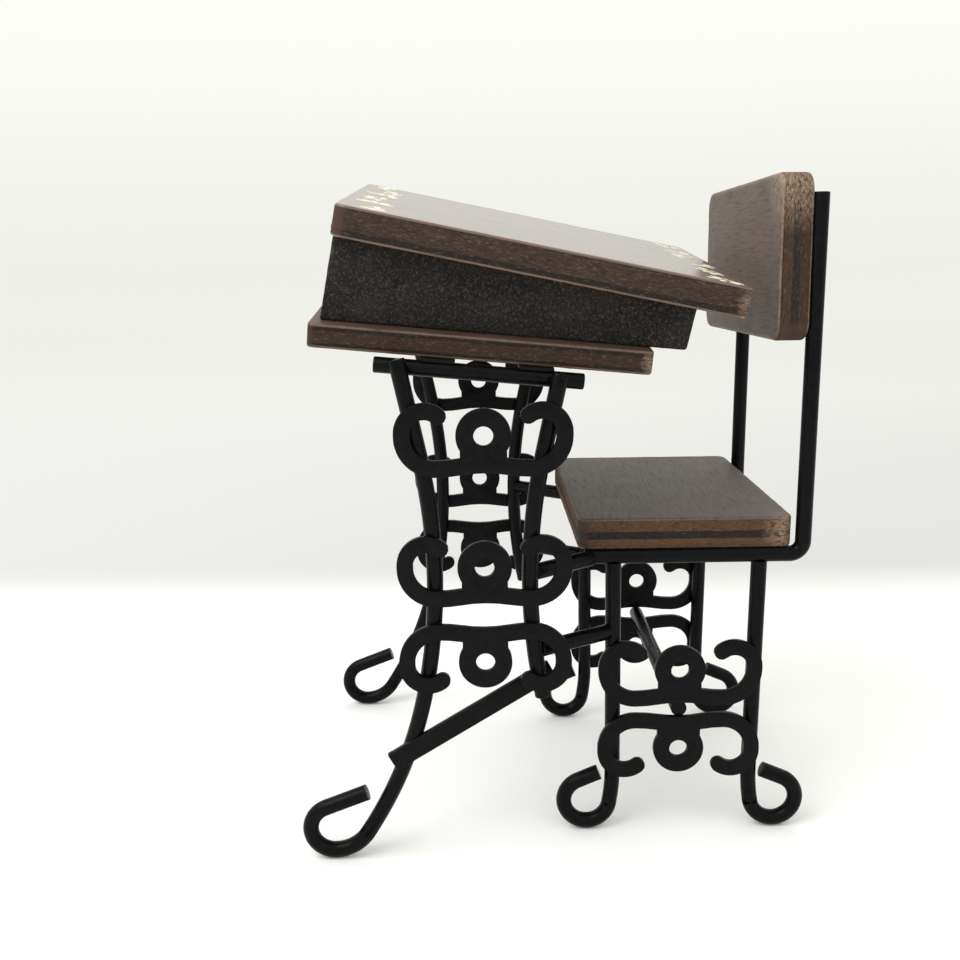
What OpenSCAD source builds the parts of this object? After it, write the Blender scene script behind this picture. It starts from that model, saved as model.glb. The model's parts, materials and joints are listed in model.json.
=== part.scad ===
// Miniature old-fashioned school desk with its seat on the same wire frame.
// Millimetres, +Z up. +X runs from the desk towards the seat back, -Y is the near side.

/* [Wire frame] */
// Diameter of the wire in legs, posts and seat rails
wire_d = 2.4; // [1.8:0.1:2.8]
// Diameter of the two straight rails under the desk
rail_d = 2.3; // [1.8:0.1:2.8]
// Distance from the middle to the desk legs
desk_leg_y = 28.5; // [26:0.5:31]
// Distance from the middle to the seat frames
seat_frame_y = 21; // [18:0.5:23]
// Inside radius of the loop that each foot curls into
foot_loop = 2.4; // [2:0.1:3]

/* [Desk top] */
// Length of the sloping lid
lid_l = 58.9; // [52:0.1:60]
// Width of the lid
lid_w = 56.5; // [50:0.5:58]
// Thickness of the lid board
lid_t = 4.4; // [3:0.1:5]
// Slope of the lid, down towards the seat
lid_slope = 11.9; // [8:0.1:14]
// Length of the base board under the box
base_l = 48.8; // [44:0.1:52]
// Width of the base board
base_w = 53; // [48:0.5:54]
// Thickness of the base board
base_t = 3.4; // [2:0.1:4]
// Slope of the base board
base_slope = 5.5; // [4:0.1:7]
// Sideways lean of the hand-bent desk top, far side high
desk_lean = 5; // [0:0.5:6]
// Thickness of the box walls
wall_t = 2; // [1.5:0.1:3]

/* [Seat] */
// Length of the seat board
seat_l = 32.4; // [28:0.1:34]
// Width of the seat board
seat_w = 47.2; // [43:0.1:50]
// Thickness of the seat and back boards
seat_t = 4.7; // [3:0.1:5]
// Height of the seat rails
seat_rail_z = 45; // [42:0.5:48]
// Width of the back board
back_w = 49; // [43:0.5:52]
// Height of the back board
back_h = 23.9; // [18:0.1:26]
// Height of the back board's top edge
back_top_z = 100.2; // [96:0.1:104]
// How far the seat and back boards sit towards the far side
board_shift = 2.4; // [0:0.1:3]
// Tilt of the hand-set back board, far side low
back_tilt = 1.9; // [0:0.1:3]

/* [Scroll plates] */
// Width of the flat band that forms a scroll
band = 2.35; // [1.8:0.05:2.6]
// Thickness of the stamped plates
plate_t = 0.9; // [0.7:0.1:1.2]
// Radius of the round medallion
medallion_r = 3.9; // [3.5:0.1:4.2]
// Radius of the hole in the medallion
medallion_hole_r = 1.4; // [1:0.1:1.8]

/* [Hidden] */
$fn = 48;

NEAR = -1;
FAR = 1;
METAL = "#1c1c1e";
WALNUT = "#5d4a3c";
CHARCOAL = "#2b2826";
BRASS = "#8a7443";

wire_r = wire_d / 2;
rail_r = rail_d / 2;
weld = 0.15;                 // how far welded pieces sink into each other
core_l = 0.3;

// Feet: the point where each loop touches the floor, and the loop's own radius
desk_foot_x = -22.9;
seat_foot_x = 45.8;
loop_r = foot_loop + wire_r;
seat_mid_x = 31;             // middle of the seat frame, which its legs mirror about
mid_x = (desk_foot_x - loop_r + seat_foot_x + loop_r) / 2;

// Wires are lists of [straight run, bend radius, turn in degrees], legs from the foot's tip upwards
desk_curl_turn = 159;        // from the tip to the floor
desk_foot = [[6.9, loop_r, desk_curl_turn], [0, 6, 57], [0, 65, 21]];
desk_bow = [0, 88, 24];
front_leg_run = 13.8;
rear_post_run = 11.4;
rear_post_x = 8.8;
rear_post_z = 25.8;
rear_post_heading = 102;

seat_curl_turn = -157;
seat_leg = [[3.6, loop_r, seat_curl_turn - 80], [0, 32, -10.5], [34, 0, 0]];
seat_rail_front_x = 15.5;
back_post_x = 48.6;
back_post_top_z = 98.1;
post_bend_r = 2;
seat_gap = 0.4;              // between the seat board's back edge and the posts

// Half of a scroll plate's band, from the middle outwards and round to the tip
scroll_half = [[0.2, 20, -9.5], [0, 20, 9.5], [0, 4.6, 90], [0.5, 3.1, 130]];
scroll_step = 7.5;           // degrees between two points on the band's bends
scroll_medallion_z = 4.1;    // medallion centre above the middle of the bar
desk_plate_x = 0.3;
desk_plate_y = desk_leg_y + wire_r - weld;
desk_plate_z = [61.2, 42.1, 36.0];
seat_plate_y = seat_frame_y + wire_r - weld;
seat_plate_x = 30.25;        // a little ahead of the legs' middle
seat_plate_z = 23;
seat_plate_mirror_z = 20.65;

// Brace on the desk's near side, and links between the desk and the seat frame
brace_from = [-13.7, -30.1, 16.3];
brace_to = [10.2, -26.8, 29.4];
brace_h = 2.9;
brace_t = 1;
link_z = [44.8, 33];
link_seat_x = [17, 19.7];
link_post_x = [6.9, 7.8];
rod_d = 2.45;
rod_z = seat_plate_mirror_z;

// Desk top: the base board's frame and the lid's frame
base_z = 75.3;               // underside of the base board at X = 0
strap_t = 0.6;
strap_w = 5;
strap_x = [-6, 8];
strap_half_l = 27.2;
rail_half_l = 14.9;
rail_y = desk_leg_y - 2.1;
rail_drop = strap_t + rail_r - 0.1;
top_shift = 1.2;             // moves the box and lid back over the frame
lid_edge_x = -19.4;          // high edge of the lid's top face
lid_edge_z = 97.2;
lid_gap = 0.1;
box_from = 0.2;
box_to = 52.4;
box_w = 49;
low_wall_t = 6;
board_corner_r = 2;
seat_corner_r = 1.8;
back_corner_r = 3;

// Butt hinges on the high edge
hinge_y = 10;
pivot_out = 0.65;            // pin axis outside the lid's end face
pin_r = 0.3;
pin_head_r = 0.5;
knuckle_r = 0.65;
leaf_t = 0.45;
box_knuckle_l = 2.2;
lid_knuckle_l = 3.4;
knuckle_gap = 0.1;
hinge_w = 2 * (box_knuckle_l + knuckle_gap) + lid_knuckle_l;
running_gap = 0.05;
nail_r = 0.35;
nail_head_r = 0.55;
nail_head_t = 0.2;
nail_l = 1.6;
nail_y = 2.6;

// ---- Shared shapes ----

// Round wire along runs and bends in the XY plane, starting along +X.
// A thinner core crosses each join, so that all the stretches are one solid.
module wire(steps, i = 0) {
    if (i < len(steps)) {
        run = steps[i][0];
        radius = steps[i][1];
        turn = steps[i][2];
        side = turn < 0 ? -1 : 1;
        if (run > 0) rotate([0, 90, 0]) cylinder(d = wire_d, h = run);
        if (i > 0) core();
        translate([run, 0, 0]) {
            if (run > 0 && turn != 0) core();
            translate([0, side * radius, 0]) {
                if (turn != 0)
                    rotate([0, 0, turn < 0 ? 90 + turn : -90])
                        rotate_extrude(angle = abs(turn)) translate([radius, 0]) circle(d = wire_d);
                rotate([0, 0, turn]) translate([0, -side * radius, 0]) wire(steps, i + 1);
            }
        }
    }
}

module core() {
    translate([-core_l / 2, 0, 0]) rotate([0, 90, 0]) cylinder(d = wire_d - 0.4, h = core_l);
}

// Stands a flat XY drawing up in the XZ plane at the given place and heading
module upright(x, y, z, heading = 0) {
    translate([x, y, z]) rotate([90, 0, 0]) rotate([0, 0, heading]) children();
}

// Where a step ends when it starts at p with the given heading: [x, y, heading]
function step_point(p, step, turn) =
    let (side = turn < 0 ? -1 : 1, h = p[2], r = side * step[1],
         x = p[0] + step[0] * cos(h), y = p[1] + step[0] * sin(h))
    [x + r * (sin(h + turn) - sin(h)), y - r * (cos(h + turn) - cos(h)), h + turn];

// Starts a leg at the tip of its foot, so that its loop stands on the floor at x with the given heading
module on_foot(x, y, floor_heading, run, turn) {
    start = floor_heading - turn;
    floor_point = step_point([0, 0, start], [run, loop_r, turn], turn);
    upright(x - floor_point[0], y, wire_r - floor_point[1], start) children();
}

// A straight piece between two points, drawn by its child along +X from the first
module between(from, to) {
    run = to - from;
    translate(from) rotate([0, -asin(run[2] / norm(run)), atan2(run[1], run[0])]) children();
}

// A board with rounded corners, centred in X and Y and standing on Z = 0
module board(l, w, t, r) {
    translate([-l / 2, -w / 2 + r, 0]) cube([l, w - 2 * r, t]);
    translate([-l / 2 + r, -w / 2, 0]) cube([l - 2 * r, w, t]);
    for (x = [-1, 1], y = [-1, 1])
        translate([x * (l / 2 - r), y * (w / 2 - r), 0]) cylinder(r = r, h = t);
}

// Puts the whole object over its own origin
module place() {
    translate([-mid_x, 0, 0]) children();
}

// The desk top leans about its near rail
module leaning() {
    place() translate([0, -rail_y, base_z - rail_drop]) rotate([desk_lean, 0, 0])
        translate([0, rail_y, rail_drop - base_z]) children();
}

// Frame of the base board: origin on its underside, +X down its slope
module on_deck() {
    leaning() translate([0, 0, base_z]) rotate([0, base_slope, 0]) children();
}

// Frame of the lid: origin at its high top edge, +X down its slope
module on_lid() {
    leaning() translate([lid_edge_x, top_shift, lid_edge_z]) rotate([0, lid_slope, 0]) children();
}

// ---- Desk frame ----

// Extra height of the far side's uprights, because the desk top leans
function rise(side) = side > 0 ? 2 * rail_y * tan(desk_lean) : 0;

module desk_front_leg(side) {
    color(METAL) place() on_foot(desk_foot_x, side * desk_leg_y, 0, desk_foot[0][0], desk_curl_turn)
        wire(concat(desk_foot, [desk_bow, [front_leg_run + rise(side), 0, 0]]));
}

module desk_rear_post(side) {
    color(METAL) place()
        upright(rear_post_x, side * desk_leg_y, rear_post_z, rear_post_heading)
            wire([[0, desk_bow[1], -desk_bow[2]], [rear_post_run + rise(side), 0, 0]]);
}

module desk_rail(side) {
    color(METAL) on_deck()
        translate([-rail_half_l, side * rail_y, -rail_drop]) rotate([0, 90, 0])
            cylinder(d = rail_d, h = 2 * rail_half_l);
}

module cross_strap(x) {
    color(METAL) on_deck()
        translate([x - strap_w / 2, -strap_half_l, -strap_t]) cube([strap_w, 2 * strap_half_l, strap_t]);
}

// Points along the middle of a band, each with its heading
function band_points(steps, p = [0, 0, 0], i = 0) =
    i == len(steps) ? [] :
    let (n = ceil(abs(steps[i][2]) / scroll_step))
    concat([for (k = [i > 0 && steps[i][0] == 0 ? 1 : 0:n]) step_point(p, steps[i], steps[i][2] * k / n)],
           band_points(steps, step_point(p, steps[i], steps[i][2]), i + 1));

function beside(p, offset) = [p[0] - offset * sin(p[2]), p[1] + offset * cos(p[2])];

function mirrored(points) = [for (i = [len(points) - 1:-1:0]) [-points[i][0], points[i][1]]];

// Rounded end of a band, from its right side round to its left
function band_end(p) = [for (a = [-60:30:60]) [p[0] + band / 2 * cos(p[2] + a), p[1] + band / 2 * sin(p[2] + a)]];

function reversed(points) = [for (i = [len(points) - 1:-1:0]) points[i]];

// A stamped plate: a bar with a scroll at each end and a holed medallion, its inner face at Y = 0
module scroll_plate() {
    line = band_points(scroll_half);
    lower = [for (p = line) beside(p, -band / 2)];
    upper = [for (p = line) beside(p, band / 2)];
    tip = band_end(line[len(line) - 1]);
    rotate([90, 0, 0]) difference() {
        union() {
            linear_extrude(plate_t)
                polygon(concat(mirrored(tip), mirrored(lower), lower, tip, reversed(upper), reversed(mirrored(upper))));
            translate([0, scroll_medallion_z, 0]) cylinder(r = medallion_r, h = plate_t);
            translate([-0.85 * medallion_r, 0, 0]) cube([1.7 * medallion_r, 1.9, plate_t]);
        }
        translate([0, scroll_medallion_z, -1]) cylinder(r = medallion_hole_r, h = plate_t + 2);
    }
}

// The plates sit on the outer faces of the frames; side mirrors them, flip turns the scrolls down
module plate_on_frame(x, y, z, side, flip) {
    color(METAL) place() mirror([0, side > 0 ? 1 : 0, 0])
        translate([x, -y, z]) mirror([0, 0, flip ? 1 : 0]) scroll_plate();
}

module desk_scroll(level, side) {
    plate_on_frame(desk_plate_x, desk_plate_y, desk_plate_z[level], side, level == 2);
}

module lower_brace() {
    color(METAL) place() between(brace_from, brace_to)
        translate([0, -brace_t / 2, -brace_h / 2]) cube([norm(brace_to - brace_from), brace_t, brace_h]);
}

// A short wire that ties the desk's rear post to the seat frame
module seat_link(level, side) {
    from = [link_seat_x[level], -seat_frame_y, link_z[level]];
    to = [link_post_x[level], -desk_leg_y, link_z[level]];
    color(METAL) place() mirror([0, side > 0 ? 1 : 0, 0]) between(from, to)
        translate([wire_r / 2, 0, 0]) rotate([0, 90, 0]) cylinder(d = wire_d, h = norm(to - from) - wire_r);
}

// ---- Seat frame ----

// One wire: the rail under the seat, bent up into the back post
module seat_frame(side) {
    rail_l = back_post_x - post_bend_r - seat_rail_front_x;
    post_l = back_post_top_z - seat_rail_z - post_bend_r;
    color(METAL) place()
        upright(seat_rail_front_x, side * seat_frame_y, seat_rail_z) wire([[rail_l, post_bend_r, 90], [post_l, 0, 0]]);
}

// The front leg is the rear leg turned the other way round, on the other side of the seat's middle
module seat_leg_wire(side, front) {
    flip = front ? -1 : 1;
    x = front ? 2 * seat_mid_x - seat_foot_x : seat_foot_x;
    color(METAL) place() on_foot(x, side * seat_frame_y, front ? 0 : 180, seat_leg[0][0], flip * seat_curl_turn)
        wire([for (step = seat_leg) [step[0], step[1], flip * step[2]]]);
}

module seat_scroll(flip, side) {
    z = flip ? 2 * seat_plate_mirror_z - seat_plate_z : seat_plate_z;
    plate_on_frame(seat_plate_x, seat_plate_y, z, side, flip);
}

module seat_cross_rod() {
    color(METAL) place() translate([seat_plate_x, seat_plate_y + plate_t / 2, rod_z]) rotate([90, 0, 0])
        cylinder(d = rod_d, h = 2 * seat_plate_y + plate_t);
}

// ---- Boards ----

module seat_board() {
    seat_back_x = back_post_x - wire_r - seat_gap;
    color(WALNUT) place() translate([seat_back_x - seat_l / 2, board_shift, seat_rail_z + wire_r - weld])
        board(seat_l, seat_w, seat_t, seat_corner_r);
}

module back_board() {
    color(WALNUT) place() translate([back_post_x - wire_r + weld, board_shift, back_top_z - back_h / 2])
        rotate([-back_tilt, 0, 0]) rotate([0, -90, 0]) board(back_h, back_w, seat_t, back_corner_r);
}

module base_board() {
    color(WALNUT) on_deck() board(base_l, base_w, base_t, 1);
}

module lid_board() {
    color(WALNUT) on_lid() translate([lid_l / 2, 0, -lid_t]) board(lid_l, lid_w, lid_t, board_corner_r);
}

// ---- Box between the base board and the lid ----

// Cuts its child, drawn in the lid's frame, off at the top of the base board
module above_base() {
    intersection() {
        on_lid() children();
        on_deck() translate([-50, -50, base_t]) cube([100, 100, 50]);
    }
}

module box_part(from, to, y_from, y_to) {
    depth = 25;
    color(CHARCOAL) above_base()
        translate([from, y_from, -lid_t - lid_gap - depth]) cube([to - from, y_to - y_from, depth]);
}

module box_side(side) {
    outer = side * box_w / 2;
    inner = side * (box_w / 2 - wall_t);
    box_part(box_from, box_to, min(outer, inner), max(outer, inner));
}

module box_wall_high() {
    half = box_w / 2 - wall_t;
    box_part(box_from, box_from + wall_t, -half, half);
}

module box_wall_low() {
    half = box_w / 2 - wall_t;
    box_part(box_to - low_wall_t, box_to, -half, half);
}

// ---- Hinges ----

// Frame of one hinge: origin on the pin's axis at the hinge's middle
module on_hinge(side) {
    on_lid() translate([-pivot_out, side * hinge_y, -lid_t - lid_gap / 2]) children();
}

module knuckle(y, l, bore_r) {
    difference() {
        union() {
            translate([0, y, 0]) rotate([-90, 0, 0]) cylinder(r = knuckle_r, h = l);
            children();
        }
        translate([0, y - 1, 0]) rotate([-90, 0, 0]) cylinder(r = bore_r, h = l + 2);
    }
}

module hinge_box_leaf(side) {
    face = pivot_out + box_from;
    color(BRASS) on_hinge(side) difference() {
        union() {
            for (end = [-1, 1]) {
                y = end > 0 ? hinge_w / 2 - box_knuckle_l : -hinge_w / 2;
                knuckle(y, box_knuckle_l, pin_r)
                    translate([face - leaf_t, y, -1.2]) cube([leaf_t, box_knuckle_l, 1.2]);
            }
            translate([face - leaf_t, -hinge_w / 2, -4.4]) cube([leaf_t, hinge_w, 3.3]);
        }
        for (y = [-nail_y, nail_y])
            translate([0, y, -3]) rotate([0, 90, 0]) cylinder(r = nail_r, h = 3);
    }
}

module hinge_lid_leaf(side) {
    y = -lid_knuckle_l / 2;
    color(BRASS) on_hinge(side) difference() {
        union() {
            knuckle(y, lid_knuckle_l, pin_r + running_gap)
                translate([pivot_out - leaf_t, y, 0]) cube([leaf_t, lid_knuckle_l, 1.4]);
            translate([pivot_out - leaf_t, -hinge_w / 2, 1.2]) cube([leaf_t, hinge_w, 2.7]);
        }
        for (y = [-nail_y, nail_y])
            translate([0, y, 2.6]) rotate([0, 90, 0]) cylinder(r = nail_r, h = 3);
    }
}

module hinge_pin(side) {
    head_t = 0.25;
    color(BRASS) on_hinge(side) rotate([-90, 0, 0]) {
        translate([0, 0, -hinge_w / 2 - head_t]) cylinder(r = pin_r, h = hinge_w + 2 * head_t);
        for (z = [-hinge_w / 2 - head_t, hinge_w / 2]) translate([0, 0, z]) cylinder(r = pin_head_r, h = head_t);
    }
}

// Four nails, two through each leaf
module hinge_nails(face, z) {
    color(BRASS) for (side = [NEAR, FAR], y = [-nail_y, nail_y])
        on_hinge(side) translate([face - leaf_t, y, z]) rotate([0, 90, 0]) {
            cylinder(r = nail_r, h = nail_l);
            translate([0, 0, -nail_head_t]) cylinder(r = nail_head_r, h = nail_head_t);
        }
}

for (side = [NEAR, FAR]) {
    tag = side < 0 ? "near" : "far";
    desk_front_leg(side);
    desk_rear_post(side);
    desk_rail(side);
    desk_scroll(0, side);
    desk_scroll(1, side);
    desk_scroll(2, side);
    seat_link(0, side);
    seat_link(1, side);
    seat_frame(side);
    seat_leg_wire(side, true);
    seat_leg_wire(side, false);
    seat_scroll(false, side);
    seat_scroll(true, side);
    box_side(side);
    hinge_box_leaf(side);
    hinge_lid_leaf(side);
    hinge_pin(side);
}
lower_brace();
cross_strap(strap_x[0]);  // cross_strap_front
cross_strap(strap_x[1]);  // cross_strap_rear
seat_cross_rod();
seat_board();
back_board();
base_board();
box_wall_high();
box_wall_low();
lid_board();
hinge_nails(pivot_out + box_from, -3);  // hinge_box_nails
hinge_nails(pivot_out, 2.6);  // hinge_lid_nails
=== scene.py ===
import json
import math
import random

import bpy
from mathutils import Matrix, Vector


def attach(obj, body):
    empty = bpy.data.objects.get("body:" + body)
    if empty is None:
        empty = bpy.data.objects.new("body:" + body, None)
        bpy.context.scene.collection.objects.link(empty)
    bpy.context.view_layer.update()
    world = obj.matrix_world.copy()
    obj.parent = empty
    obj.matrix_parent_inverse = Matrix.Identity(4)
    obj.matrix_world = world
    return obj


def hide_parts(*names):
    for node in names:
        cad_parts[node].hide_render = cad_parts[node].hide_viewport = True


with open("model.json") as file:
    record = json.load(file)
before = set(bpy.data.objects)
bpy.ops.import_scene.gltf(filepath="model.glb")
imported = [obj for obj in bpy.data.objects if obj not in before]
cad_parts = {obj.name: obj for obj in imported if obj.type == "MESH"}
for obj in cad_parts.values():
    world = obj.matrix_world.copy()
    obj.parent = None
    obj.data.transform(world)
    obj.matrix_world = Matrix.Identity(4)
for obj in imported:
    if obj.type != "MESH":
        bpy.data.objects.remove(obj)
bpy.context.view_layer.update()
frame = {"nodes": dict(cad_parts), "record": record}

mm = 0.001
print("frame loaded:", len(frame["nodes"]), "nodes")


def linear(hexColour):
    values = [int(hexColour[i:i + 2], 16) / 255 for i in (1, 3, 5)]
    return [v / 12.92 if v <= 0.04045 else ((v + 0.055) / 1.055) ** 2.4 for v in values] + [1]


def addNode(tree, kind, settings=None, links=None, stops=()):
    node = tree.nodes.new("ShaderNode" + kind)
    for name, value in (settings or {}).items():
        if isinstance(name, str) and name in node.bl_rna.properties:
            setattr(node, name, value)
        else:
            node.inputs[name].default_value = value
    for name, source in (links or {}).items():
        tree.links.new(source, node.inputs[name])
    for i, (place, colour) in enumerate(stops):
        element = node.color_ramp.elements[i] if i < 2 else node.color_ramp.elements.new(place)
        element.position = place
        element.color = linear(colour)
    return node.outputs


def newMaterial(name, settings):
    material = bpy.data.materials.new(name)
    material.use_nodes = True
    tree = material.node_tree
    tree.nodes.clear()
    shader = tree.nodes.new("ShaderNodeBsdfPrincipled")
    for socket, value in settings.items():
        shader.inputs[socket].default_value = value
    addNode(tree, "OutputMaterial", links={"Surface": shader.outputs[0]})
    return material, tree, shader


def feedShader(tree, shader, links):
    for socket, source in links.items():
        tree.links.new(source, shader.inputs[socket])


def spotInMm(tree):
    place = addNode(tree, "TexCoord")
    return addNode(tree, "VectorMath", {"operation": "SCALE", "Scale": 1 / mm}, {0: place["Object"]})[0]


def onlySelect(piece):
    bpy.ops.object.select_all(action="DESELECT")
    piece.select_set(True)
    bpy.context.view_layer.objects.active = piece


def applyModifier(piece, kind, settings):
    onlySelect(piece)
    modifier = piece.modifiers.new(kind.lower(), kind)
    for name, value in settings.items():
        setattr(modifier, name, value)
    bpy.ops.object.modifier_apply(modifier=modifier.name)


deskTop = {"lean": 5.0, "lidSlope": 11.9, "baseSlope": 5.5}     # degrees, as the top was bent

boardTurns = {
    "lid_board": (deskTop["lean"], deskTop["lidSlope"]),
    "base_board": (deskTop["lean"], deskTop["baseSlope"]),
    "seat_board": (0, 0),
    "back_board": (-1.9, -90),
}


def boardFrame(nodeName):
    lean, slope = boardTurns.get(nodeName, boardTurns["lid_board"])
    turn = Matrix.Rotation(math.radians(lean), 3, "X") @ Matrix.Rotation(math.radians(slope), 3, "Y")
    points = [turn.transposed() @ v.co for v in frame["nodes"][nodeName].data.vertices]
    low = Vector([min(p[i] for p in points) for i in range(3)])
    high = Vector([max(p[i] for p in points) for i in range(3)])
    return turn, turn @ ((low + high) / 2), high - low


# Birch plywood in a dark walnut water stain: thin grain on the faces, soft sheen from rubbing,
# plies that show as light and dark bands on the edges, stain rubbed off the arrises.
# layers: each ply and its thickness, from the underside or the rear face; coat: the varnish's weight
# and roughness; wear: width of the rubbed rim; rub: how much stain the rim has lost; bare: reach of
# the bare corner; corner: radius of the board's corners; fleck: how much raw fibre shows.
# Lengths are in mm, and grain stretches the figure along each axis
plyLook = {
    "lid_board": {
        "layers": [("#1f1b1a", 1.15), ("#392c24", 2.75), ("#291c17", 0.5)], "coat": (0.7, 0.18),
        "stain": ("#46332a", "#6a503f"), "worn": "#6b4a38", "wear": 0.55, "grain": (0.10, 1.5, 1.5),
        "rub": 0.25, "bare": 2.4, "corner": 2.0, "fleck": 0.6, "roughness": (0.32, 0.44)},
    "base_board": {
        "layers": [("#191312", 0.7), ("#32241d", 1.5), ("#1b1614", 0.8)], "coat": (0, 0.3),
        "stain": ("#3a2c25", "#5c483c"), "worn": "#7a5f4c", "wear": 0.5, "grain": (0.10, 1.5, 1.5),
        "rub": 0.25, "bare": 2.0, "corner": 1.0, "fleck": 0.5, "roughness": (0.46, 0.60)},
    "seat_board": {
        "layers": [("#1c1715", 0.35), ("#523a28", 1.1), ("#1f1a18", 1.1), ("#4e3726", 1.5),
                   ("#241a15", 0.35)], "coat": (0, 0.3),
        "stain": ("#3d322b", "#54463c"), "worn": "#7a5f4c", "wear": 0.6, "grain": (1.6, 0.12, 1.6),
        "rub": 0.3, "bare": 5.0, "corner": 1.8, "fleck": 0.35, "roughness": (0.50, 0.62)},
    "back_board": {
        "layers": [("#35271f", 1.7), ("#241f1c", 1.0), ("#3f2e21", 1.2), ("#1f1917", 0.5)],
        "coat": (0, 0.3),
        "stain": ("#43352c", "#5d4c40"), "worn": "#937863", "wear": 0.9, "grain": (1.6, 0.12, 1.6),
        "rub": 0.6, "bare": 9.0, "corner": 3.0, "fleck": 0.5, "roughness": (0.46, 0.58)},
}


def stainedPly(nodeName, look):
    turn, centre, size = boardFrame(nodeName)
    half = size / mm / 2
    corner = look["corner"]
    varnish, varnishRoughness = look["coat"]
    material, tree, shader = newMaterial("walnutStainedPly_" + nodeName,
                                         {"IOR": 1.5, "Coat Roughness": varnishRoughness})
    place = addNode(tree, "TexCoord")
    local = addNode(tree, "Mapping", {"vector_type": "TEXTURE", "Location": centre,
                                      "Rotation": turn.to_euler(), "Scale": (mm, mm, mm)},
                    {"Vector": place["Object"]})[0]
    # how far a point reaches into the rounded rim, 0 on the flat and the corner radius at the arris
    away = addNode(tree, "VectorMath", {"operation": "ABSOLUTE"}, {0: local})[0]
    flat = (half.x - corner, half.y - corner, size.length / mm)     # height doesn't count
    rim = addNode(tree, "VectorMath", {"operation": "SUBTRACT", 1: flat}, {0: away})[0]
    rim = addNode(tree, "VectorMath", {"operation": "MAXIMUM", 1: (0, 0, 0)}, {0: rim})[0]
    reach = addNode(tree, "VectorMath", {"operation": "LENGTH"}, {0: rim})["Value"]
    rimParts = addNode(tree, "SeparateXYZ", links={0: rim})
    cornerness = addNode(tree, "Math", {"operation": "MINIMUM"}, {0: rimParts[0], 1: rimParts[1]})[0]
    cornerness = addNode(tree, "MapRange", {"From Max": 0.35 * corner, "To Max": 0.75},
                         {"Value": cornerness})[0]
    ruffle = addNode(tree, "TexNoise", {"Scale": 1.3, "Detail": 6, "Roughness": 0.7}, {"Vector": local})[0]
    ruffled = addNode(tree, "Math", {"operation": "MULTIPLY_ADD", 1: 3.2, 2: -1.75}, {0: ruffle})[0]
    rubbed = addNode(tree, "Math", {"operation": "ADD"}, {0: reach, 1: ruffled})[0]
    rubbed = addNode(tree, "MapRange", {"From Min": corner - look["wear"], "From Max": corner + 0.1},
                     {"Value": rubbed})[0]
    # faces: fine straight grain, dark pores, and the stain in wide blotches
    along = addNode(tree, "VectorMath", {"operation": "MULTIPLY", 1: look["grain"]}, {0: local})[0]
    grain = addNode(tree, "TexNoise", {"Scale": 1.6, "Detail": 8, "Roughness": 0.72, "Distortion": 0.4},
                    {"Vector": along})[0]
    blotch = addNode(tree, "TexNoise", {"Scale": 0.13, "Detail": 3, "Roughness": 0.6}, {"Vector": local})[0]
    tone = addNode(tree, "Math", {"operation": "MULTIPLY_ADD", 1: 0.55}, {0: blotch, 2: grain})[0]
    veneer = addNode(tree, "MapRange", {"From Min": 0.52, "From Max": 1.02}, {"Value": tone})[0]
    dark, light = look["stain"]
    veneer = addNode(tree, "ValToRGB", links={"Fac": veneer}, stops=[(0, dark), (1, light)])[0]
    pore = addNode(tree, "ValToRGB", links={"Fac": grain}, stops=[(0.36, "#3a3a3a"), (0.46, "#ffffff")])[0]
    veneer = addNode(tree, "Mix", {"data_type": "RGBA", "blend_type": "MULTIPLY", "Factor": 0.6},
                     {6: veneer, 7: pore})[2]
    lost = addNode(tree, "Math", {"operation": "MULTIPLY", 1: look["rub"]}, {0: rubbed})[0]
    veneer = addNode(tree, "Mix", {"data_type": "RGBA", 7: linear(look["worn"])},
                     {"Factor": lost, 6: veneer})[2]
    # edges: the plies as bands, with torn fibres of raw birch and dark glue in between
    height = addNode(tree, "SeparateXYZ", links={0: local})[2]
    wobble = addNode(tree, "TexNoise", {"Scale": 0.45, "Detail": 4}, {"Vector": local})[0]
    height = addNode(tree, "Math", {"operation": "MULTIPLY_ADD", 1: 0.35}, {0: wobble, 2: height})[0]
    height = addNode(tree, "MapRange", {"From Min": -half.z + 0.17, "From Max": half.z + 0.17},
                     {"Value": height})[0]
    total = sum(thick for _, thick in look["layers"])
    stops, level = [], 0
    for colour, thick in look["layers"]:
        stops += [(level / total + 0.014, colour), ((level + thick) / total - 0.014, colour)]
        level += thick
    plies = addNode(tree, "ValToRGB", links={"Fac": height}, stops=stops)[0]
    torn = addNode(tree, "VectorMath", {"operation": "MULTIPLY", 1: (0.7, 0.7, 2.2)}, {0: local})[0]
    torn = addNode(tree, "TexNoise", {"Scale": 1.7, "Detail": 7, "Roughness": 0.75, "Distortion": 0.6},
                   {"Vector": torn})[0]
    fleck = addNode(tree, "MapRange", {"From Min": 0.54, "From Max": 0.70, "To Max": look["fleck"]},
                    {"Value": torn})[0]
    gap = addNode(tree, "MapRange", {"From Min": 0.49, "From Max": 0.34, "To Max": 0.8}, {"Value": torn})[0]
    plies = addNode(tree, "Mix", {"data_type": "RGBA", "blend_type": "SCREEN", 7: linear("#735f4b")},
                    {"Factor": fleck, 6: plies})[2]
    plies = addNode(tree, "Mix", {"data_type": "RGBA", 7: linear("#1c1512")}, {"Factor": gap, 6: plies})[2]
    plies = addNode(tree, "Mix", {"data_type": "RGBA", 7: linear(dark)}, {"Factor": cornerness, 6: plies})[2]
    # a point is on a face when it lies near enough to the board's top or bottom
    depth = addNode(tree, "SeparateXYZ", links={0: away})[2]
    onFace = addNode(tree, "MapRange", {"From Min": half.z - 0.42, "From Max": half.z - 0.25},
                     {"Value": depth})[0]
    colour = addNode(tree, "Mix", {"data_type": "RGBA"}, {"Factor": onFace, 6: plies, 7: veneer})[2]
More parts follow.
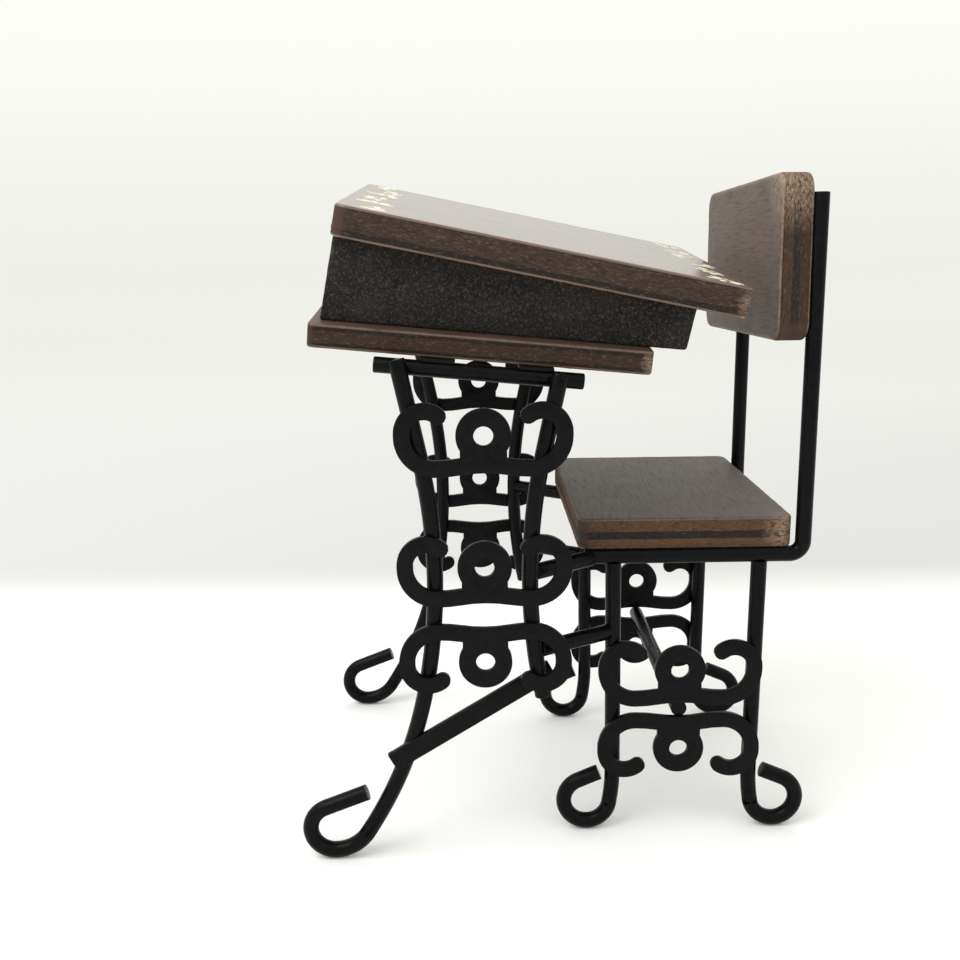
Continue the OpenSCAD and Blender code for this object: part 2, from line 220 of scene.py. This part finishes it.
    # one near corner where handling has taken the stain off
    bareCorner = (half.x, -half.y, 0)
    bare = addNode(tree, "VectorMath", {"operation": "DISTANCE", 1: bareCorner}, {0: local})["Value"]
    bare = addNode(tree, "MapRange", {"From Min": look["bare"], "From Max": 0.35 * look["bare"]},
                   {"Value": bare})[0]
    patchy = addNode(tree, "MapRange", {"From Min": 0.40, "From Max": 0.62, "To Max": 0.85},
                     {"Value": torn})[0]
    bare = addNode(tree, "Math", {"operation": "MULTIPLY"}, {0: bare, 1: patchy})[0]
    colour = addNode(tree, "Mix", {"data_type": "RGBA", 7: linear("#a08871")},
                     {"Factor": bare, 6: colour})[2]
    low, high = look["roughness"]
    rough = addNode(tree, "MapRange", {"From Min": 0.3, "From Max": 0.7, "To Min": high, "To Max": low},
                    {"Value": grain})[0]
    rough = addNode(tree, "Mix", {2: 0.72}, {"Factor": onFace, 3: rough})[0]
    relief = addNode(tree, "Mix", links={"Factor": onFace, 2: torn, 3: grain})[0]
    bump = addNode(tree, "Bump", {"Strength": 0.6, "Distance": 0.12 * mm}, {"Height": relief})[0]
    coat = addNode(tree, "Math", {"operation": "MULTIPLY", 1: varnish}, {0: onFace})[0]
    shine = addNode(tree, "MapRange", {"To Min": 0.18, "To Max": 0.5}, {"Value": onFace})[0]
    feedShader(tree, shader, {"Base Color": colour, "Roughness": rough, "Normal": bump, "Coat Weight": coat,
                              "Specular IOR Level": shine})
    return material


# Fibreboard offcuts under flat charcoal paint: matt, with raised fibres and grit specks laid in pale grey as
# a painted highlight for the light they catch
charcoalLook = {"paint": "#1d1b1b", "worn": "#2a2625", "fibre": "#858079", "grit": 0.35, "fibreLength": 1.1}


def charcoalBoard(look):
    material, tree, shader = newMaterial("charcoalPaintedFibreboard",
                                         {"Roughness": 0.86, "IOR": 1.45, "Specular IOR Level": 0.2})
    inMm = spotInMm(tree)
    grit = addNode(tree, "TexNoise", {"Scale": 1 / look["grit"], "Detail": 6, "Roughness": 0.8},
                   {"Vector": inMm})[0]
    patch = addNode(tree, "TexNoise", {"Scale": 0.16, "Detail": 3}, {"Vector": inMm})[0]
    strands = addNode(tree, "TexNoise", {"Scale": 1 / look["fibreLength"], "Detail": 5, "Roughness": 0.65,
                                         "Distortion": 2.6}, {"Vector": inMm})[0]
    offLine = addNode(tree, "Math", {"operation": "SUBTRACT", 1: 0.5}, {0: strands})[0]
    offLine = addNode(tree, "Math", {"operation": "ABSOLUTE"}, {0: offLine})[0]
    fibre = addNode(tree, "MapRange", {"From Min": 0.030, "From Max": 0.004}, {"Value": offLine})[0]
    litSpeck = addNode(tree, "MapRange", {"From Min": 0.51, "From Max": 0.66}, {"Value": grit})[0]
    paint = addNode(tree, "ValToRGB", links={"Fac": patch},
                    stops=[(0.35, look["paint"]), (0.68, look["worn"])])[0]
    # painted highlight: the raised fibres and the grit specks turn pale grey where they would catch the
    # light
    fibreHighlight = addNode(tree, "Math", {"operation": "MULTIPLY"}, {0: fibre, 1: litSpeck})[0]
    fibreHighlight = addNode(tree, "Math", {"operation": "MULTIPLY_ADD", 1: 0.35}, {0: litSpeck, 2: fibreHighlight})[0]
    fibreHighlight = addNode(tree, "Math", {"operation": "MULTIPLY", 1: 0.8, "use_clamp": True}, {0: fibreHighlight})[0]
    colour = addNode(tree, "Mix", {"data_type": "RGBA", 7: linear(look["fibre"])},
                     {"Factor": fibreHighlight, 6: paint})[2]
    relief = addNode(tree, "Math", {"operation": "MULTIPLY_ADD", 1: 0.5}, {0: fibre, 2: grit})[0]
    bump = addNode(tree, "Bump", {"Strength": 0.9, "Distance": 0.16 * mm}, {"Height": relief})[0]
    feedShader(tree, shader, {"Base Color": colour, "Normal": bump})
    return material


# Steel wire and stamped steel in satin black enamel: even and dark, a soft wide highlight,
# a trace of brush lap, and here and there a pale chip
enamelLook = {
    "wire": {"paint": ("#050506", "#0b0b0d"), "roughness": (0.22, 0.34), "chips": 0.775, "lap": 1.2},
    "plate": {"paint": ("#070708", "#0e0e10"), "roughness": (0.28, 0.42), "chips": 0.80, "lap": 0.7},
}


def blackEnamel(name, look):
    material, tree, shader = newMaterial("satinBlackEnamel_" + name,
                                         {"IOR": 1.5, "Specular IOR Level": 0.09})
    inMm = spotInMm(tree)
    lap = addNode(tree, "TexNoise", {"Scale": 1 / look["lap"], "Detail": 4, "Roughness": 0.55},
                  {"Vector": inMm})[0]
    chip = addNode(tree, "TexNoise", {"Scale": 1.1, "Detail": 5, "Roughness": 0.7}, {"Vector": inMm})[0]
    dark, light = look["paint"]
    paint = addNode(tree, "ValToRGB", links={"Fac": lap}, stops=[(0.35, dark), (0.68, light)])[0]
    chip = addNode(tree, "MapRange", {"From Min": look["chips"], "From Max": look["chips"] + 0.03},
                   {"Value": chip})[0]
    colour = addNode(tree, "Mix", {"data_type": "RGBA", 7: linear("#a8a498")}, {"Factor": chip, 6: paint})[2]
    low, high = look["roughness"]
    rough = addNode(tree, "MapRange", {"From Min": 0.3, "From Max": 0.7, "To Min": low, "To Max": high},
                    {"Value": lap})[0]
    bump = addNode(tree, "Bump", {"Strength": 0.35, "Distance": 0.05 * mm}, {"Height": lap})[0]
    feedShader(tree, shader, {"Base Color": colour, "Roughness": rough, "Normal": bump})
    return material


# Small rolled brass hinges gone brown: warm metal with dull patches in the hollows
brassLook = {"bright": "#9a7f45", "dull": "#4f3d22", "patch": 0.9}


def agedBrass(look):
    material, tree, shader = newMaterial("agedBrass", {"Metallic": 1.0})
    inMm = spotInMm(tree)
    patch = addNode(tree, "TexNoise", {"Scale": 1 / look["patch"], "Detail": 5, "Roughness": 0.65},
                    {"Vector": inMm})[0]
    colour = addNode(tree, "ValToRGB", links={"Fac": patch},
                     stops=[(0.38, look["dull"]), (0.60, look["bright"])])[0]
    rough = addNode(tree, "MapRange", {"From Min": 0.35, "From Max": 0.65, "To Min": 0.55, "To Max": 0.30},
                    {"Value": patch})[0]
    bump = addNode(tree, "Bump", {"Strength": 0.4, "Distance": 0.04 * mm}, {"Height": patch})[0]
    feedShader(tree, shader, {"Base Color": colour, "Roughness": rough, "Normal": bump})
    return material


# Craft acrylic put on with a fine brush: opaque, satin, a little thinner at the ends of each stroke
def craftPaint(name, thick, thin):
    material, tree, shader = newMaterial("craftAcrylic_" + name, {"Roughness": 0.48, "IOR": 1.48})
    inMm = spotInMm(tree)
    stroke = addNode(tree, "TexNoise", {"Scale": 1.4, "Detail": 4, "Roughness": 0.6}, {"Vector": inMm})[0]
    colour = addNode(tree, "ValToRGB", links={"Fac": stroke}, stops=[(0.36, thin), (0.52, thick)])[0]
    bump = addNode(tree, "Bump", {"Strength": 0.5, "Distance": 0.04 * mm}, {"Height": stroke})[0]
    feedShader(tree, shader, {"Base Color": colour, "Normal": bump})
    return material


boardMaterials = {name: stainedPly(name, look) for name, look in plyLook.items()}
charcoal = charcoalBoard(charcoalLook)
wireEnamel = blackEnamel("wire", enamelLook["wire"])
plateEnamel = blackEnamel("plate", enamelLook["plate"])
brass = agedBrass(brassLook)
cream = craftPaint("cream", "#e6e1cc", "#c2bb9c")
paleGreen = craftPaint("paleGreen", "#b3bc88", "#8b9562")
print("materials made:", len(bpy.data.materials))

bodyOf = {node: body for body, nodes in frame["record"]["behaviour"]["bodies"].items() for node in nodes}

# edge: radius worn or rolled onto the sharp edges, in mm; grid: spacing of the cuts that let an
# edge be dented, in mm; dent: how deep its dents are, in mm; flat: how much of that reaches the faces
boardEdges = {
    "lid_board": {"edge": 0.3, "grid": 0.9, "dent": 0.16, "flat": 0.06},
    "base_board": {"edge": 0.25, "grid": 0.9, "dent": 0.14, "flat": 0.06},
    "seat_board": {"edge": 0.25, "grid": 0.9, "dent": 0.16, "flat": 0.06},
    "back_board": {"edge": 0.6, "grid": 0.9, "dent": 0.18, "flat": 0.06},
}
wallEdges = {"edge": 0.35, "grid": 0.7, "dent": 0.2, "flat": 0.35}

# merge: how near two of a wire's points are made one, in mm; sharp: the angle that counts as an edge
metalEdges = {
    "scroll": {"edge": 0.17, "steps": 2, "material": plateEnamel, "slot": "black_wire",
               "merge": 0.001, "sharp": 42},
    "brace": {"edge": 0.15, "steps": 2, "material": plateEnamel, "slot": "black_wire",
              "merge": 0.001, "sharp": 42},
    "strap": {"edge": 0.15, "steps": 2, "material": plateEnamel, "slot": "black_wire",
              "merge": 0.001, "sharp": 42},
    "hinge": {"edge": 0.07, "steps": 2, "material": brass, "slot": "hinge_brass",
              "merge": 0.001, "sharp": 42},
    "": {"edge": 0.2, "steps": 3, "material": wireEnamel, "slot": "black_wire",
         "merge": 0.03, "sharp": 60},
}


def copyPart(nodeName, material, merge=0.001):     # merge in mm
    words = nodeName.split("_")
    piece = frame["nodes"][nodeName].copy()
    piece.data = piece.data.copy()
    piece.name = words[0] + "".join(w.capitalize() for w in words[1:])
    for key in list(piece.keys()):
        del piece[key]
    piece.parent = None
    bpy.context.scene.collection.objects.link(piece)
    piece.data.materials.clear()
    piece.data.materials.append(material)
    onlySelect(piece)
    bpy.ops.object.mode_set(mode="EDIT")
    bpy.ops.mesh.select_all(action="SELECT")
    bpy.ops.mesh.remove_doubles(threshold=merge * mm)
    bpy.ops.mesh.dissolve_limited(angle_limit=math.radians(0.5))
    bpy.ops.object.mode_set(mode="OBJECT")
    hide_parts(nodeName)
    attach(piece, bodyOf[nodeName])
    return piece


def roundEdges(piece, edge, steps, sharp=42):
    applyModifier(piece, "BEVEL", {"width": edge * mm, "segments": steps, "limit_method": "ANGLE",
                                   "angle_limit": math.radians(sharp), "harden_normals": False})


def smoothOver(piece, angle):
    onlySelect(piece)
    bpy.ops.object.shade_smooth_by_angle(angle=math.radians(angle))


def cutGrid(piece, turn, centre, size, spacing):
    onlySelect(piece)
    bpy.ops.object.mode_set(mode="EDIT")
    for axis in range(3):
        direction = turn.col[axis]
        cuts = int(size[axis] / mm / spacing)
        for i in range(1, cuts):
            bpy.ops.mesh.select_all(action="SELECT")
            spot = centre + direction * size[axis] * (i / cuts - 0.5)
            bpy.ops.mesh.bisect(plane_co=spot, plane_no=direction, use_fill=False)
    bpy.ops.object.mode_set(mode="OBJECT")


def dentEdges(piece, turn, centre, size, look):
    group = piece.vertex_groups.new(name="arris")
    for v in piece.data.vertices:
        spot = turn.transposed() @ (v.co - centre)
        gaps = sorted((size[i] / 2 - abs(spot[i])) / mm for i in range(3))
        group.add([v.index], max(look["flat"], 1 - gaps[1] / (2 * look["edge"])), "REPLACE")
    clouds = bpy.data.textures.new("dents", "CLOUDS")
    clouds.noise_scale = 1.3 * mm
    clouds.noise_depth = 2
    applyModifier(piece, "DISPLACE", {"texture": clouds, "strength": look["dent"] * mm, "mid_level": 0.62,
                                      "vertex_group": group.name})
    piece.vertex_groups.clear()


for nodeName, look in boardEdges.items():
    turn, centre, size = boardFrame(nodeName)
    board = copyPart(nodeName, boardMaterials[nodeName])
    roundEdges(board, look["edge"], 3)
    cutGrid(board, turn, centre, size, look["grid"])
    dentEdges(board, turn, centre, size, look)
    smoothOver(board, 40)
print("boards done")

for nodeName in [n for n in frame["nodes"] if n.startswith("box_")]:
    turn, centre, size = boardFrame(nodeName)
    wall = copyPart(nodeName, charcoal)
    roundEdges(wall, wallEdges["edge"], 2)
    cutGrid(wall, turn, centre, size, wallEdges["grid"])
    dentEdges(wall, turn, centre, size, wallEdges)
    smoothOver(wall, 40)
print("box walls done")

for nodeName in [n for n in frame["nodes"] if not n.endswith("_board") and not n.startswith("box_")]:
    look = next(look for word, look in metalEdges.items() if word in nodeName)
    part = copyPart(nodeName, look["material"], look["merge"])
    roundEdges(part, look["edge"], look["steps"], look["sharp"])
    smoothOver(part, 35)
print("metalwork done")


# The sprays painted along both ends of the lid: rosettes of single brush strokes
spray = {
    "length": 2.4, "width": 1.3, "thick": 0.06,         # one leaf, in mm
    "highEnd": 4.6, "lowEnd": 3.4,                      # rosette centres from the lid's ends, in mm
    "rosettes": 6, "sideMargin": 4.5, "leaves": 8, "greens": 3,
    "inside": 0.75,                                     # how far leaves stay from the lid's ends, in mm
    "seed": 7,
}


def modelLeaf(look):
    bpy.ops.object.select_all(action="DESELECT")
    bpy.ops.mesh.primitive_circle_add(vertices=16, radius=look["width"] / 2 * mm, fill_type="NGON")
    leaf = bpy.context.active_object
    bpy.ops.object.mode_set(mode="EDIT")
    stretch = 0.8 * look["length"] / look["width"]          # the drawn-out tip adds the rest
    bpy.ops.transform.resize(value=(stretch, 1, 1), center_override=(0, 0, 0))
    bpy.ops.mesh.select_all(action="DESELECT")
    bpy.ops.object.mode_set(mode="OBJECT")
    tip = max(v.co.x for v in leaf.data.vertices)
    for v in leaf.data.vertices:
        v.select = v.co.x > 0.98 * tip
    bpy.ops.object.mode_set(mode="EDIT")
    bpy.ops.transform.translate(value=(0.3 * look["width"] * mm, 0, 0))
    bpy.ops.mesh.select_all(action="SELECT")
    bpy.ops.mesh.extrude_region_move(TRANSFORM_OT_translate={"value": (0, 0, look["thick"] * mm)})
    bpy.ops.transform.resize(value=(0.82, 0.6, 1), center_override=(0, 0, 0))     # paint rounds off on top
    bpy.ops.object.mode_set(mode="OBJECT")
    return leaf


def paintSprays(look):
    turn, centre, size = boardFrame("lid_board")
    chance = random.Random(look["seed"])
    leaf = modelLeaf(look)
    strokes = {"cream": [], "green": []}
    for end, inset in ((-1, look["highEnd"]), (1, look["lowEnd"])):
        halfRow = size.y / mm / 2 - look["sideMargin"]
        for i in range(look["rosettes"]):
            x0 = end * (size.x / mm / 2 - inset)
            y0 = -halfRow + 2 * halfRow * i / (look["rosettes"] - 1)
            start = chance.uniform(0, 360)
            for k in range(look["leaves"]):
                paint = "green" if k < look["greens"] else "cream"
                angle = math.radians(start + 360 * k / look["leaves"] + chance.uniform(-14, 14))
                out = 0.6 if paint == "green" else chance.uniform(1.7, 2.3)
                scale = chance.uniform(0.65, 0.8) if paint == "green" else chance.uniform(0.85, 1.1)
                x = x0 + 0.8 * out * math.cos(angle)            # a rosette is a little wider than long
                y = y0 + 1.2 * out * math.sin(angle) + chance.uniform(-0.4, 0.4)
                halfLength = 0.5 * look["length"] * abs(math.cos(angle)) * scale
                limit = size.x / mm / 2 - look["inside"] - halfLength
                x = max(-limit, min(limit, x))
                spot = Vector((x * mm, y * mm, size.z / 2 - 0.01 * mm))     # just sunk into the lid
                stroke = leaf.copy()
                stroke.data = leaf.data.copy()
                bpy.context.scene.collection.objects.link(stroke)
                stroke.data.transform(Matrix.Translation(centre + turn @ spot) @ turn.to_4x4()
                                      @ Matrix.Rotation(angle, 4, "Z") @ Matrix.Scale(scale, 4))
                strokes[paint].append(stroke)
    bpy.data.objects.remove(leaf)
    for paint, material in (("cream", cream), ("green", paleGreen)):
        bpy.ops.object.select_all(action="DESELECT")
        for stroke in strokes[paint]:
            stroke.select_set(True)
        bpy.context.view_layer.objects.active = strokes[paint][0]
        bpy.ops.object.join()
        leaves = bpy.context.active_object
        leaves.name = paint + "Leaves"
        leaves.data.materials.append(material)
        smoothOver(leaves, 50)
        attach(leaves, "lid")


paintSprays(spray)
print("sprays painted")


# A white paper floor, painted grey behind the desk as painted shade, under an even sky, one large softbox,
# and a camera at the desk's near side
room = {
    "floorSize": 8,                                 # in metres
    "floor": "#f6f6f6", "edgeAt": (75, 125),        # where the floor turns grey behind the desk as painted shade, in mm
    "far": [(0, "#cacaca"), (0.13, "#d9d9d9"), (0.42, "#dedede"), (1, "#dedede")], "farTo": 2600,
    "horizon": "#f5f5f0", "low": 0.955, "zenith": 1.3,
}
keyLight = {"at": (-320, -220, 480), "aim": (0, 0, 50), "size": (420, 320), "power": 1.6}   # mm and watts
camera = {"at": (-13.19, -182.65, 92.86), "lens": 41.73, "right": 0.57, "down": 12.5, "roll": 0.65}


def studioFloor(look):
    bpy.ops.mesh.primitive_plane_add(size=look["floorSize"])
    floor = bpy.context.active_object
    floor.name = "floor"
    material, tree, shader = newMaterial("mattWhitePaper", {"Roughness": 0.9, "Specular IOR Level": 0.2})
    place = addNode(tree, "TexCoord")
    y = addNode(tree, "SeparateXYZ", links={0: place["Object"]})[1]
    near, far = look["edgeAt"]
    backShade = addNode(tree, "MapRange", {"interpolation_type": "SMOOTHSTEP", "From Min": near * mm,
                                      "From Max": far * mm}, {"Value": y})[0]
    # painted shade: past the step the floor is grey, darkest just behind the desk and a little lighter
    # further off
    farShade = addNode(tree, "MapRange", {"From Min": far * mm, "From Max": look["farTo"] * mm}, {"Value": y})[0]
    farShade = addNode(tree, "ValToRGB", links={"Fac": farShade}, stops=look["far"])[0]
    colour = addNode(tree, "Mix", {"data_type": "RGBA", 6: linear(look["floor"])},
                     {"Factor": backShade, 7: farShade})[2]
    feedShader(tree, shader, {"Base Color": colour})
    floor.data.materials.append(material)


def studioLight(look):
    world = bpy.data.worlds.new("softWhiteRoom")
    bpy.context.scene.world = world
    world.use_nodes = True
    tree = world.node_tree
    tree.nodes.clear()
    place = addNode(tree, "TexCoord")
    up = addNode(tree, "SeparateXYZ", links={0: place["Generated"]})[2]
    strength = addNode(tree, "MapRange", {"From Max": 0.45, "To Min": look["low"], "To Max": look["zenith"]},
                       {"Value": up})[0]
    sky = addNode(tree, "Background", {"Color": linear(look["horizon"])}, {"Strength": strength})[0]
    addNode(tree, "OutputWorld", links={"Surface": sky})


def softbox(name, look):
    bpy.ops.object.light_add(type="AREA", location=[v * mm for v in look["at"]])
    light = bpy.context.active_object
    light.name = name
    light.data.shape = "RECTANGLE"
    width, depth = look["size"]
    light.data.size = width * mm
    light.data.size_y = depth * mm
    light.data.energy = look["power"]
    toAim = Vector([v * mm for v in look["aim"]]) - light.location
    light.rotation_euler = toAim.to_track_quat("-Z", "Y").to_euler()


def standCamera(look):
    bpy.ops.object.camera_add(location=[v * mm for v in look["at"]])
    view = bpy.context.active_object
    turn = (Matrix.Rotation(math.radians(-look["right"]), 4, "Z")
            @ Matrix.Rotation(math.radians(90 - look["down"]), 4, "X")
            @ Matrix.Rotation(math.radians(-look["roll"]), 4, "Z"))
    view.rotation_euler = turn.to_euler()
    view.data.lens = look["lens"]
    view.data.sensor_width = 36
    view.data.clip_start = 0.01
    view.data.clip_end = 20
    bpy.context.scene.camera = view


studioFloor(room)
studioLight(room)
softbox("keyAboveLeft", keyLight)
standCamera(camera)
bpy.context.scene.view_settings.view_transform = "Standard"
print("studio set")
